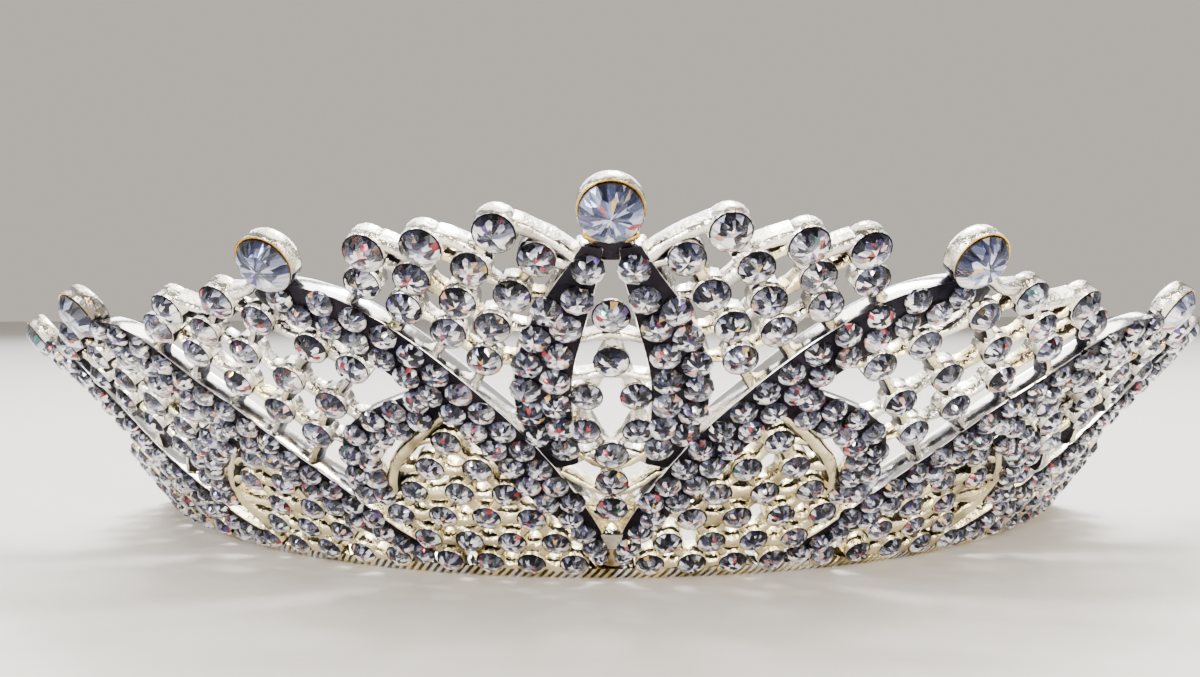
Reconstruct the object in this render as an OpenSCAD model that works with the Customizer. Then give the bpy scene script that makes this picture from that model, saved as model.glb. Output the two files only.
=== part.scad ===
// Rhinestone tiara: one pierced cast frame in three pairs of rising arms, set with round cut stones.
// Millimetres. X runs to the wearer's left, Y to the back of the head, Z up. The base edge rests on Z = 0.

/* [Band] */
// radius of the front of the band in plan
front_radius = 79; // [60:1:100]
// radius of the sides of the band in plan
side_radius = 76; // [55:1:100]
// length along the band from the middle to where the sides begin
front_half = 44; // [30:1:60]
// length along the band from the middle to each end
half_length = 92; // [86:1:110]
// outward lean of the wall at the middle, in degrees
flare = 33.3; // [10:0.1:45]
// how much the lean grows towards the sides, in degrees
flare_gain = 1.1; // [0:0.1:4]
// how far hand bending has pushed the pattern sideways, in ten-thousandths
sway = 0.39; // [0:0.01:1]
// height at which that push is nothing
sway_height = 10.7; // [0:0.1:30]

/* [Metal] */
// depth of the casting from front to back
metal_depth = 2.2; // [1.6:0.1:3]
// height of the solid edge along the bottom
edge_height = 1.5; // [1:0.1:3]
// width of the curved links along the crest
crest_width = 1.3; // [0.8:0.1:2]
// metal round each stone of the open work
cup_wall = 0.3; // [0.2:0.05:0.6]
// clear gap between a stone and its seat
seat_gap = 0.12; // [0.1:0.01:0.2]

/* [Stones] */
// radius of the seven large stones
large_radius = 2.98; // [2.5:0.01:3.5]
// radius of the stones along the crest
crest_radius = 1.95; // [1.5:0.01:2.4]
// radius of the stones of the open work
net_radius = 1.75; // [1.4:0.01:2]
// radius of the stones of the lower rows
low_radius = 1.58; // [1.2:0.01:2]
// table of a stone as a share of its radius
table_share = 0.56; // [0.4:0.01:0.7]
// crown height of a stone as a share of its radius
crown_share = 0.42; // [0.2:0.01:0.6]

/* [Hidden] */
$fn = 8;
RIGHT = 1;
LEFT = -1;
silver = [0.80, 0.80, 0.78];
crystal = [0.78, 0.82, 0.90];

// middle of the box round the whole tiara, measured from the middle of the front of the base edge
MIDDLE_OF_BASE = [3.674, 12.132, 0];

// columns of every table of places: distance along the band, distance up the wall, half width
ALONG = 0;
UP = 1;
HALF = 2;

// the two rising bands either side of the middle column, closing under the centre stone
ARCH = [[1.0, 43.8, 1.2], [2.3, 40.3, 1.7], [3.9, 36.2, 2.2], [5.2, 32.0, 2.5], [5.8, 28.6, 2.6],
        [5.9, 25.4, 2.6], [5.5, 22.4, 2.3], [4.9, 19.8, 1.9], [3.9, 17.4, 1.5]];
// the three arms of a side, from the base edge out to the tip
ARM = [
    [[0.0, 3.6, 1.5], [3.7, 9.3, 1.9], [6.9, 14.9, 2.4], [14.0, 26.6, 2.45],
     [18.2, 32.3, 2.45], [22.4, 36.5, 2.4], [26.6, 38.9, 2.2]],
    [[21.0, 2.6, 1.3], [25.6, 5.9, 1.8], [31.0, 11.5, 2.4], [35.7, 16.9, 2.4], [40.0, 22.3, 2.4],
     [44.4, 26.9, 2.4], [48.6, 31.8, 2.4], [52.2, 34.0, 2.3], [55.6, 34.4, 2.0]],
    [[46.0, 1.9, 1.2], [51.6, 4.4, 1.8], [56.2, 8.3, 2.4], [60.2, 12.4, 2.4], [63.6, 17.5, 2.4],
     [66.4, 23.0, 2.4], [70.0, 28.0, 2.4], [74.2, 30.5, 2.3], [80.4, 31.0, 2.0]]
];
// a hook below the first and the second arm, its end resting on the next arm
HOOK = [
    [[16.0, 26.0, 2.0], [19.4, 24.1, 2.2], [22.3, 22.5, 2.2], [24.4, 20.4, 2.2], [25.4, 17.8, 2.1],
     [25.5, 15.2, 1.9], [25.2, 12.4, 1.6]],
    [[41.6, 20.4, 1.8], [45.0, 18.6, 1.9], [47.9, 16.8, 1.9], [49.7, 14.2, 1.9], [50.2, 11.3, 1.8],
     [49.9, 8.2, 1.5]]
];
// solid web behind the lower rows: distance along, lower limit, upper limit
WEB = [
    [[2.5, 0.9, 6.4], [7.0, 0.9, 14.2], [12.0, 0.9, 22.0], [15.0, 0.9, 25.0],
     [19.0, 0.9, 22.6], [23.5, 0.9, 17.4], [29.0, 0.9, 9.6]],
    [[24.0, 0.9, 4.4], [31.0, 0.9, 11.2], [36.0, 0.9, 17.0], [40.0, 0.9, 21.0],
     [46.0, 0.9, 16.6], [52.0, 0.9, 5.0]],
    [[50.0, 0.9, 3.6], [57.0, 0.9, 9.2], [62.0, 0.9, 15.0], [69.0, 0.9, 15.6],
     [76.0, 0.9, 15.0], [82.5, 0.9, 10.4], [88.5, 0.9, 4.6]]
];
// rows of lower stones: first place along, place up, how many, distance between them, gaps above the row
FIRST = 0;
ROW_UP = 1;
COUNT = 2;
PITCH = 3;
GAPS = 4;
ROWS = [
    [[4.3, 2.4, 4, 4.85, 0], [6.1, 5.9, 4, 4.85, 3], [8.4, 9.7, 4, 4.85, 3], [10.6, 13.4, 3, 4.95, 2],
     [13.1, 17.0, 2, 4.9, 1], [15.6, 20.8, 1, 4.9, 0]],
    [[25.4, 2.4, 5, 4.95, 0], [32.0, 5.8, 3, 4.95, 2], [34.8, 9.3, 2, 5.0, 1], [37.4, 13.1, 2, 5.0, 1],
     [40.3, 16.8, 1, 5.0, 0]],
    [[51.4, 2.4, 8, 4.95, 0], [58.4, 5.8, 6, 4.95, 2], [61.4, 9.3, 5, 4.95, 2], [64.5, 13.0, 3, 4.95, 0]]
];
// stones along the crest, then the places of the stones in the open work of each panel
CREST = [[8.1, 45.95], [13.7, 44.55], [18.3, 44.1], [34.1, 38.9], [40.8, 38.0], [43.5, 35.6],
         [62.6, 34.6], [66.8, 32.6]];
TIP = [[27.4, 43.2], [57.0, 37.6], [81.4, 33.6]];
COLUMN = [[0, 36.9], [0, 31.55], [0, 19.3], [0, 15.4], [0, 11.4], [2.1, 27.2], [-2.1, 27.2],
          [2.4, 22.6], [-2.4, 22.6]];
NET_A = [[5.3, 43.15], [10.3, 42.2], [15.0, 41.2], [19.2, 40.8], [7.4, 39.2], [11.7, 38.5], [16.2, 37.9],
         [9.3, 35.65], [13.0, 35.0], [10.4, 31.7]];
NET_B = [[37.4, 35.2], [40.0, 32.3], [30.5, 36.6], [33.7, 32.4], [36.4, 28.3], [26.1, 33.1],
         [30.0, 28.9], [32.8, 24.6], [22.7, 30.5], [26.4, 25.6], [29.5, 21.2]];
NET_C = [[46.0, 23.8], [49.2, 20.9], [52.5, 17.4], [49.2, 27.4], [52.6, 24.4], [56.0, 21.0],
         [52.4, 31.0], [55.8, 28.0], [59.2, 24.6], [59.0, 31.4], [62.6, 28.0]];
// pierced sheets of the open work: distance along, lower limit, upper limit
SHEET = [
    [[2.2, 39.0, 42.6], [6.2, 28.0, 44.0], [8.1, 17.6, 45.2], [11.0, 22.6, 43.8],
     [14.6, 27.8, 43.8], [18.3, 32.8, 43.6], [22.4, 36.4, 38.6]],
    [[18.6, 24.6, 31.4], [24.2, 21.0, 36.6], [27.4, 10.2, 40.2],
     [32.0, 13.0, 39.4], [37.0, 19.0, 37.6], [42.6, 25.4, 36.0], [47.4, 30.8, 33.0]],
    [[45.2, 19.0, 26.8], [51.0, 13.6, 33.2], [54.0, 7.0, 34.2],
     [59.6, 12.6, 34.8], [64.0, 19.0, 33.6], [70.0, 28.2, 30.4]]
];
MIDDLE = [[-4.6, 15.0, 33.0], [-3.0, 10.4, 37.8], [-1.3, 6.2, 42.6], [0, 3.0, 45.6], [1.3, 6.2, 42.6],
          [3.0, 10.4, 37.8], [4.6, 15.0, 33.0]];
// gaps of the open work: distance along, place up, half width
SHEET_GAPS = [
    [[7.7, 42.5, 1.3], [12.5, 41.6, 1.3], [17.2, 40.9, 1.2], [4.7, 40.6, 1.2], [9.6, 38.7, 1.0],
     [14.0, 38.2, 1.2], [18.7, 38.1, 1.3], [6.5, 37.0, 1.1], [11.1, 36.2, 0.8], [16.0, 34.6, 1.4],
     [8.2, 33.0, 1.1], [13.3, 31.4, 1.4], [10.6, 28.6, 1.6], [9.2, 24.8, 0.9]],
    [[26.6, 36.6, 1.6], [31.0, 39.3, 1.1], [34.2, 35.5, 1.3], [37.5, 38.0, 0.7], [40.6, 35.2, 1.1],
     [30.2, 32.9, 1.6], [36.9, 31.8, 1.3], [26.3, 29.4, 1.6], [33.2, 28.5, 1.5], [43.3, 32.4, 1.2],
     [40.0, 28.6, 1.3], [29.6, 25.1, 1.5], [36.6, 24.6, 1.3], [33.2, 20.4, 1.5], [22.6, 26.9, 1.3],
     [26.9, 22.4, 1.0], [28.9, 16.4, 1.8]],
    [[46.0, 26.4, 1.0], [49.3, 24.1, 1.2], [52.7, 20.9, 1.2], [52.6, 27.7, 1.3], [56.0, 24.5, 1.3],
     [55.8, 31.2, 1.2], [59.3, 28.0, 1.3], [59.8, 20.8, 1.2], [63.2, 24.2, 1.2], [54.6, 14.2, 1.6]]
];
MIDDLE_GAPS = [[0, 40.9, 1.2], [2.1, 32.0, 1.1], [-2.1, 32.0, 1.1], [0, 27.6, 0.6], [0, 23.9, 1.0],
               [2.3, 18.6, 0.6], [-2.3, 18.6, 0.6], [2.2, 13.6, 0.5], [-2.2, 13.6, 0.5], [0, 8.2, 1.2]];
CREST_LINKS = [
    [[27.4, 43.2], [34.1, 38.9]], [[34.1, 38.9], [40.8, 38.0]],
    [[57.0, 37.6], [62.6, 34.6]], [[66.8, 32.6], [70.6, 29.4]]
];

// positions on the leaning wall
function swayed(a, h) = a + sway * 0.0001 * a * a * (h - sway_height);
function turn(b) = b < front_half ? b / front_radius * 180 / PI
    : front_half / front_radius * 180 / PI + (b - front_half) / side_radius * 180 / PI;
function plan_x(b) = b < front_half ? front_radius * sin(turn(b))
    : front_radius * sin(turn(front_half)) + side_radius * (sin(turn(b)) - sin(turn(front_half)));
function plan_y(b) = b < front_half ? front_radius * (1 - cos(turn(b)))
    : front_radius * (1 - cos(turn(front_half))) + side_radius * (cos(turn(front_half)) - cos(turn(b)));
function lean_at(b) = flare + flare_gain * (b / 66) * (b / 66);
function side_of(s) = s < 0 ? -1 : 1;
// directions at a place: along the band, up the wall, out of its front
function along_dir(a, h) = let (s = swayed(a, h), t = turn(abs(s)) * side_of(s)) [cos(t), sin(t), 0];
function up_dir(a, h) = let (s = swayed(a, h), t = turn(abs(s)) * side_of(s), d = lean_at(abs(s)))
    [sin(d) * sin(t), -sin(d) * cos(t), cos(d)];
function out_dir(a, h) = let (s = swayed(a, h), t = turn(abs(s)) * side_of(s), d = lean_at(abs(s)))
    [cos(d) * sin(t), -cos(d) * cos(t), -sin(d)];
function wall(a, h, out) = let (s = swayed(a, h), b = abs(s))
    [side_of(s) * plan_x(b), plan_y(b), 0] + h * up_dir(a, h) + out * out_dir(a, h) - MIDDLE_OF_BASE;
// where the underside of the base edge rests on the table
function foot(a, out) = let (p = wall(a, out * tan(lean_at(abs(swayed(a, 0)))), out)) [p[0], p[1], 0];
function mirrored(list, side) = [for (p = list) concat([side * p[ALONG]], [for (i = [1 : len(p) - 1]) p[i]])];
function unit(v) = v / norm(v);

// place children on the wall, their z out of its front
module at(a, h, out = 0) {
    x = along_dir(a, h);
    y = up_dir(a, h);
    z = out_dir(a, h);
    p = wall(a, h, out);
    multmatrix([[x[0], y[0], z[0], p[0]], [x[1], y[1], z[1], p[1]], [x[2], y[2], z[2], p[2]], [0, 0, 0, 1]])
        children();
}

// solid through a list of four-cornered rings
module loft(rings) {
    n = len(rings);
    polyhedron(
        points = [for (r = rings) each r],
        faces = concat(
            [[0, 1, 2], [0, 2, 3]],
            [[4 * n - 1, 4 * n - 2, 4 * n - 3], [4 * n - 1, 4 * n - 3, 4 * n - 4]],
            [for (i = [0 : n - 2]) for (j = [0 : 3])
                let (a = 4 * i + j, b = 4 * i + 4 + j, c = 4 * i + 4 + (j + 1) % 4, d = 4 * i + (j + 1) % 4)
                each [[a, b, c], [a, c, d]]]));
}

// band of metal along a path on the wall, between two depths
module strip(path, front, back) {
    n = len(path);
    mid = [for (p = path) wall(p[ALONG], p[UP], 0)];
    loft([for (i = [0 : n - 1])
        let (out = out_dir(path[i][ALONG], path[i][UP]),
             dir = unit(mid[min(i + 1, n - 1)] - mid[max(i - 1, 0)]),
             side = unit(cross(out, dir)) * path[i][HALF])
        [mid[i] + side + out * front, mid[i] - side + out * front,
         mid[i] - side + out * back, mid[i] + side + out * back]]);
}

// straight link between two places
module link(ends, width, front, back) {
    strip([[ends[0][ALONG], ends[0][UP], width / 2], [ends[1][ALONG], ends[1][UP], width / 2]], front, back);
}

// sheet of metal between a lower and an upper limit
module sheet(path, low, high, side, front) {
    n = len(path);
    loft([for (i = [0 : n - 1])
        let (p = path[side > 0 ? i : n - 1 - i], a = side * p[ALONG])
        [wall(a, p[high], front), wall(a, p[low], front), wall(a, p[low], -metal_depth), wall(a, p[high], -metal_depth)]]);
}

// round cup under a stone
module cup(p, r, sides = 8) {
    hull()
        at(p[ALONG], p[UP], -metal_depth)
            cylinder(h = metal_depth - seat_gap, r = r + cup_wall, $fn = sides);
}

// deep cup with a seat sunk in its front
module deep_cup(p, r, rise, sides) {
    difference() {
        at(p[ALONG], p[UP], -metal_depth)
            cylinder(h = metal_depth + rise, r = r + seat_gap + cup_wall, $fn = sides);
        at(p[ALONG], p[UP], -r * 0.5 - seat_gap)
            cylinder(h = r + rise, r = r + seat_gap, $fn = sides);
    }
}

// small stone with a flat back
module low_stone(r) {
    hull()
        cylinder(h = r * crown_share, r1 = r, r2 = r * table_share, $fn = 8);
}

// large stone with crown, girdle and pavilion
module cut_stone(r, sides) {
    cylinder(h = r * crown_share, r1 = r, r2 = r * table_share, $fn = sides);
    translate([0, 0, -r * 0.08])
        cylinder(h = r * 0.08, r = r, $fn = sides);
    translate([0, 0, -r * 0.5])
        cylinder(h = r * 0.42, r1 = r * 0.45, r2 = r, $fn = sides);
}

// gap cut right through
module gap(p, sides) {
    at(p[ALONG], p[UP], -metal_depth - 1)
        rotate([0, 0, 90])
            cylinder(h = metal_depth + 2, r = p[HALF], $fn = sides);
}

// base edge from end to end, flat underneath
module base_edge() {
    n = 30;
    front = -0.2;
    back = -metal_depth - 0.1;
    loft([for (i = [0 : n])
        let (a = half_length * (2 * i / n - 1))
        [wall(a, edge_height, front), foot(a, front), foot(a, back), wall(a, edge_height, back)]]);
}

// solid web of one panel with its gaps
module web(k, side) {
    difference() {
        sheet(WEB[k], 1, 2, side, -0.27);
        for (r = ROWS[k])
            for (i = [0 : 1 : r[GAPS] - 1])
                gap([side * (r[FIRST] + (i + 0.5) * r[PITCH]), r[ROW_UP] + 1.3, 0.9], 3);
    }
}

// open work of one panel
module open_work(k, side) {
    difference() {
        sheet(SHEET[k], 1, 2, side, -0.27);
        for (p = SHEET_GAPS[k])
            gap([side * p[ALONG], p[UP], p[HALF] * 1.14], 4);
    }
}

// middle column between the two arches
module middle() {
    difference() {
        sheet(MIDDLE, 1, 2, RIGHT, -0.27);
        for (p = MIDDLE_GAPS)
            gap([p[ALONG], p[UP], p[HALF] * 1.14], 4);
    }
}

// the whole casting
module frame() {
    color(silver) {
        base_edge();
        middle();
        deep_cup([0, 48.05], large_radius, 0.5, 10);
        for (side = [LEFT, RIGHT]) {
            strip(mirrored(ARCH, side), -0.13, -metal_depth - 0.1);
            for (k = [0 : 2]) {
                strip(mirrored(ARM[k], side), -0.13, -metal_depth - 0.1);
                web(k, side);
                open_work(k, side);
                deep_cup([side * TIP[k][ALONG], TIP[k][UP]], large_radius, 0.5, 10);
            }
            for (path = HOOK)
                strip(mirrored(path, side), -0.13, -metal_depth - 0.1);
            for (p = CREST)
                cup([side * p[ALONG], p[UP]], crest_radius);
            for (e = CREST_LINKS)
                link(mirrored(e, side), crest_width, -0.4, -metal_depth + 0.1);
        }
    }
}

module large_stone(p) {
    color(crystal)
        at(p[ALONG], p[UP])
            cut_stone(large_radius, 10);
}

module crest_stone(p) {
    color(crystal)
        at(p[ALONG], p[UP])
            low_stone(crest_radius);
}

module small_stones(list, r) {
    color(crystal)
        for (p = list)
            at(p[ALONG], p[UP])
                low_stone(r);
}

module column_stones() {
    small_stones(COLUMN, net_radius);
    small_stones([[0, 3.2]], 1.0);
}

module net_stones(side) {
    small_stones(mirrored(concat(NET_A, NET_B, NET_C), side), net_radius);
}

module low_stones(side) {
    for (rows = ROWS)
        for (r = rows)
            small_stones([for (i = [0 : r[COUNT] - 1]) [side * (r[FIRST] + i * r[PITCH]), r[ROW_UP]]], low_radius);
}

frame();
large_stone([0, 48.05]);  // centre_stone
large_stone([TIP[0][ALONG], TIP[0][UP]]);  // tip_stone_1_right
large_stone([-TIP[0][ALONG], TIP[0][UP]]);  // tip_stone_1_left
large_stone([TIP[1][ALONG], TIP[1][UP]]);  // tip_stone_2_right
large_stone([-TIP[1][ALONG], TIP[1][UP]]);  // tip_stone_2_left
large_stone([TIP[2][ALONG], TIP[2][UP]]);  // tip_stone_3_right
large_stone([-TIP[2][ALONG], TIP[2][UP]]);  // tip_stone_3_left
crest_stone([CREST[0][ALONG], CREST[0][UP]]);  // crest_stone_1_right
crest_stone([-CREST[0][ALONG], CREST[0][UP]]);  // crest_stone_1_left
crest_stone([CREST[1][ALONG], CREST[1][UP]]);  // crest_stone_2_right
crest_stone([-CREST[1][ALONG], CREST[1][UP]]);  // crest_stone_2_left
crest_stone([CREST[2][ALONG], CREST[2][UP]]);  // crest_stone_3_right
crest_stone([-CREST[2][ALONG], CREST[2][UP]]);  // crest_stone_3_left
crest_stone([CREST[3][ALONG], CREST[3][UP]]);  // crest_stone_4_right
crest_stone([-CREST[3][ALONG], CREST[3][UP]]);  // crest_stone_4_left
crest_stone([CREST[4][ALONG], CREST[4][UP]]);  // crest_stone_5_right
crest_stone([-CREST[4][ALONG], CREST[4][UP]]);  // crest_stone_5_left
crest_stone([CREST[5][ALONG], CREST[5][UP]]);  // crest_stone_6_right
crest_stone([-CREST[5][ALONG], CREST[5][UP]]);  // crest_stone_6_left
crest_stone([CREST[6][ALONG], CREST[6][UP]]);  // crest_stone_7_right
crest_stone([-CREST[6][ALONG], CREST[6][UP]]);  // crest_stone_7_left
crest_stone([CREST[7][ALONG], CREST[7][UP]]);  // crest_stone_8_right
crest_stone([-CREST[7][ALONG], CREST[7][UP]]);  // crest_stone_8_left
column_stones();
net_stones(RIGHT);  // net_stones_right
net_stones(LEFT);  // net_stones_left
low_stones(RIGHT);  // low_stones_right
low_stones(LEFT);  // low_stones_left
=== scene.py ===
import math
import random
import bpy
from mathutils import Matrix, Vector, noise


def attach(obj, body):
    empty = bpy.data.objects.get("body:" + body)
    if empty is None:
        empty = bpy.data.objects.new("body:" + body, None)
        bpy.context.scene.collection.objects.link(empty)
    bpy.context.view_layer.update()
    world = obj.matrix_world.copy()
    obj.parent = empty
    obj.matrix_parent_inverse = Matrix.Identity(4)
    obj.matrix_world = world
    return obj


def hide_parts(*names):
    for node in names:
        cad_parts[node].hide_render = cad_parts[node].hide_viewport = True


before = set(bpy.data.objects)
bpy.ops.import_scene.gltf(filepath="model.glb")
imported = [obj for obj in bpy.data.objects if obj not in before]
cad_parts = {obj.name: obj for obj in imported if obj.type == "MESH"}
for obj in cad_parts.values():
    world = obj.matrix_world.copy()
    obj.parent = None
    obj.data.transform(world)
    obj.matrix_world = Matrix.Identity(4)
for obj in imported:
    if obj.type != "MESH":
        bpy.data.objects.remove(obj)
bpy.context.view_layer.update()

# The tiara is drawn flat, in millimetres: x along the band, y up the wall, z out of its front.
# Then it is wrapped on the leaning, curved wall that part.scad has, in metres.

# Sizes of the wall and of the stones, as in part.scad, in mm and degrees
FRONT_RADIUS, SIDE_RADIUS = 79.0, 76.0
# from the middle of the band to where its sides begin, and to its ends
FRONT_HALF, HALF_LENGTH = 44.0, 92.0
# outward lean in the middle, and what it gains by a place along the band
FLARE, FLARE_GAIN, FLARE_PLACE = 33.3, 1.1, 66.0
# push of the pattern along the band, and the height without it
SWAY, SWAY_HEIGHT = 0.39e-4, 10.7
# middle of the box round the whole tiara, from the middle of the front of the base edge
MIDDLE_OF_BASE = Vector((3.674, 12.132, 0.0))
EDGE_HEIGHT = 1.5
# radii of the stones
LARGE, CREST_R, NET_R, LOW_R, PAVE_R = 2.98, 1.95, 1.75, 1.58, 1.48

# Fronts and backs of the pieces of the casting, in mm out of the wall
ARM_FRONT, STRAND_FRONT, LINK_FRONT, WEB_FRONT, RIB_FRONT = -0.15, -0.45, -0.6, -0.35, -0.5
BACK, STRAND_BACK, WEB_BACK = -2.2, -2.3, -2.1

# How far the back of a piece stands out past its front, at the start and at the end of its path
NO_SLOPE = (0.0, 0.0)
ARM_SLOPE, HOOK_SLOPE, ARCH_SLOPE = (1.2, -0.6), (-0.5, 0.2), (0.35, 0.35)
LINK_SLOPE, STRAND_SLOPE = (0.15, 0.15), (0.2, 0.2)

# The rope-milled base edge. Its ridges are 1 mm wide and lean along it
# height of each of a ridge's four columns, as a share of the full one
RIDGE = (0.0, 0.85, 1.0, 0.8)
RIDGE_HEIGHT, RIDGE_LEAN, TOOTH, GROOVE = 0.45, 0.8, 0.3, 0.26
EDGE_FRONT, EDGE_DEPTH, EDGE_LIFT = -0.4, 1.8, 0.02
# length at each end of the band in which the ridges come upright
UPRIGHT = 2.0

# The lower webs: stones nearer than this are joined, some of those on a level and most of the others
NEAR, JOINED_LEVEL, JOINED_OTHERS = 5.2, 0.8, 0.92
# share of the open work's links that the lacquer has warmed
WARMED = 0.45
# how far the large stones are set low and out, the crest stones out, and the pave stones out and unevenly so
LARGE_LOW, LARGE_OUT, CREST_OUT, PAVE_OUT, PAVE_UNEVEN = 0.2, 0.1, 0.08, 0.12, 0.08
HALVES = ((1, "right"), (-1, "left"))

# Tables of the flat pattern, as in part.scad. Paths: along, up, half width
ARCH = [(1.3, 44.4, 0.8), (1.9, 42.2, 1.2), (2.8, 39.6, 1.6), (4.0, 36.2, 2.1), (5.2, 32.0, 2.4),
        (5.8, 28.6, 2.5), (5.9, 25.4, 2.5), (5.5, 22.4, 2.2), (4.9, 19.8, 1.7), (4.2, 17.6, 1.2)]
ARM = [
    [(0.9, 4.4, 0.9), (3.4, 9.3, 1.6), (6.9, 14.9, 2.4), (10.0, 20.6, 2.45), (14.0, 26.6, 2.45),
     (18.2, 32.3, 2.45), (22.4, 36.5, 2.4), (26.2, 38.7, 2.1), (28.2, 39.5, 1.4), (29.0, 40.4, 0.8)],
    [(21.0, 2.6, 1.3), (25.6, 5.9, 1.8), (31.0, 11.5, 2.4), (35.7, 16.9, 2.4), (40.0, 22.3, 2.4),
     (44.4, 26.9, 2.4), (48.6, 31.8, 2.4), (52.2, 34.0, 2.3), (55.6, 34.4, 2.0)],
    [(46.0, 1.9, 1.2), (51.6, 4.4, 1.8), (56.2, 8.3, 2.4), (60.2, 12.4, 2.4), (63.6, 17.5, 2.4),
     (66.4, 23.0, 2.4), (70.0, 28.0, 2.4), (74.2, 30.5, 2.3), (80.4, 31.0, 2.0)]]
HOOK = [
    [(16.0, 26.0, 2.0), (19.4, 24.1, 2.2), (22.3, 22.5, 2.2), (24.4, 20.4, 2.2), (25.4, 17.8, 2.1),
     (25.5, 15.2, 1.9), (25.2, 12.4, 1.6)],
    [(41.6, 20.4, 1.8), (45.0, 18.6, 1.9), (47.9, 16.8, 1.9), (49.7, 14.2, 1.9), (50.2, 11.3, 1.8),
     (49.9, 8.2, 1.5)]]
# rows of lower stones: first place along, place up, how many, distance between them
ROWS = [
    [(4.3, 2.4, 4, 4.85), (6.1, 5.9, 4, 4.85), (8.4, 9.7, 4, 4.85), (10.6, 13.4, 3, 4.95),
     (13.1, 17.0, 2, 4.9), (15.6, 20.8, 1, 4.9)],
    [(25.4, 2.4, 5, 4.95), (32.0, 5.8, 3, 4.95), (34.8, 9.3, 2, 5.0), (37.4, 13.1, 2, 5.0),
     (40.3, 16.8, 1, 5.0)],
    [(51.4, 2.4, 8, 4.95), (58.4, 5.8, 6, 4.95), (61.4, 9.3, 5, 4.95), (64.5, 13.0, 3, 4.95)]]
# named stones: along, up
CENTRE = (0.0, 48.05)
CREST = {"L1": (8.1, 45.95), "L2": (13.7, 44.55), "L3": (18.3, 44.1), "B1": (34.1, 38.9),
         "A1": (40.8, 38.0), "A2": (43.5, 35.6), "G1": (62.6, 34.6), "G2": (66.8, 32.6)}
TIP = {"T1": (27.4, 43.2), "T2": (57.0, 37.6), "T3": (81.4, 33.6)}
NET = {"L4": (5.3, 43.15), "L5": (10.3, 42.2), "L6": (15.0, 41.2), "L7": (19.2, 40.8), "L8": (7.4, 39.2),
       "L9": (11.7, 38.5), "L10": (16.2, 37.9), "L11": (9.3, 35.65), "L12": (13.0, 35.0), "L13": (10.4, 31.7),
       "B2": (37.4, 35.2), "B3": (40.0, 32.3), "C1": (30.5, 36.6), "C2": (33.7, 32.4), "C3": (36.4, 28.3),
       "D1": (26.1, 33.1), "D2": (30.0, 28.9), "D3": (32.8, 24.6), "E1": (22.7, 30.5), "E2": (26.4, 25.6),
       "E3": (29.5, 21.2),
       "K1": (46.0, 23.8), "K2": (49.2, 20.9), "K3": (52.5, 17.4), "J1": (49.2, 27.4), "J2": (52.6, 24.4),
       "J3": (56.0, 21.0), "I1": (52.4, 31.0), "I2": (55.8, 28.0), "I3": (59.2, 24.6), "H1": (59.0, 31.4),
       "H2": (62.6, 28.0)}
# stones of the middle column: along, up, radius
COLUMN = {"c1": (0.0, 36.9, 1.8), "c2": (0.0, 31.55, 1.75), "i1": (2.1, 27.2, 1.6), "i2": (-2.1, 27.2, 1.6),
          "j1": (2.4, 22.6, 1.6), "j2": (-2.4, 22.6, 1.6), "c3": (0.0, 19.3, 1.75), "c4": (0.0, 15.4, 1.75),
          "c5": (0.0, 11.4, 1.7), "v1": (-1.3, 3.4, 0.95), "v2": (1.3, 3.4, 0.95)}
# links of the open work, from stone to stone or to a place on an arm
LINKS = [
    "L1 L5", "L4 L8", "L5 L8", "L5 L2", "L5 L9", "L2 L6", "L3 L6", "L3 L7", "L6 L9", "L6 L10", "L8 L11",
    "L9 L11", "L9 L12", "L10 L12", "L11 L13", "L12 L13", "L4 1.9,41.8", "L8 3.6,38.4", "L11 5.4,34.6",
    "L13 6.6,31.0", "L7 21.6,37.4", "L10 18.6,33.9", "L12 15.8,30.4", "L13 12.8,26.8",
    "B1 C1", "B1 B2", "A1 B2", "A2 B3", "B2 B3", "B2 C2", "B3 C3", "C1 C2", "C2 C3", "C1 D1", "C2 D2",
    "C3 D3", "D1 D2", "D2 D3", "D1 E1", "D2 E2", "D3 E3", "E1 E2", "E2 E3", "E1 18.6,31.0", "D1 23.6,36.2",
    "C1 27.4,39.6", "A2 47.2,32.0", "B3 43.6,28.0", "C3 40.2,24.2", "D3 36.8,19.6", "E3 33.0,15.6",
    "E2 23.4,22.9", "E3 25.8,19.8",
    "K1 K2", "K2 K3", "J1 J2", "J2 J3", "I1 I2", "I2 I3", "H1 H2", "K1 J1", "K2 J2", "K3 J3", "J1 I1",
    "J2 I2", "J3 I3", "I2 H1", "I3 H2", "K1 42.4,22.4", "K2 47.4,17.4", "K3 50.0,14.4", "I1 52.0,33.4",
    "J3 60.2,16.4", "I3 64.0,20.8", "H2 67.0,26.0", "H1 G1", "G2 H2", "H1 56.8,35.0", "K3 57.4,11.4"]
COLUMN_LINKS = [
    "c1 c2", "c2 i1", "c2 i2", "i1 4.6,27.6", "i2 -4.6,27.6",
    "i1 j1", "i2 j2", "j1 4.6,22.4", "j2 -4.6,22.4", "j1 c3", "j2 c3", "c3 4.0,18.2", "c3 -4.0,18.2",
    "c3 c4", "c4 c5"]

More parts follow.
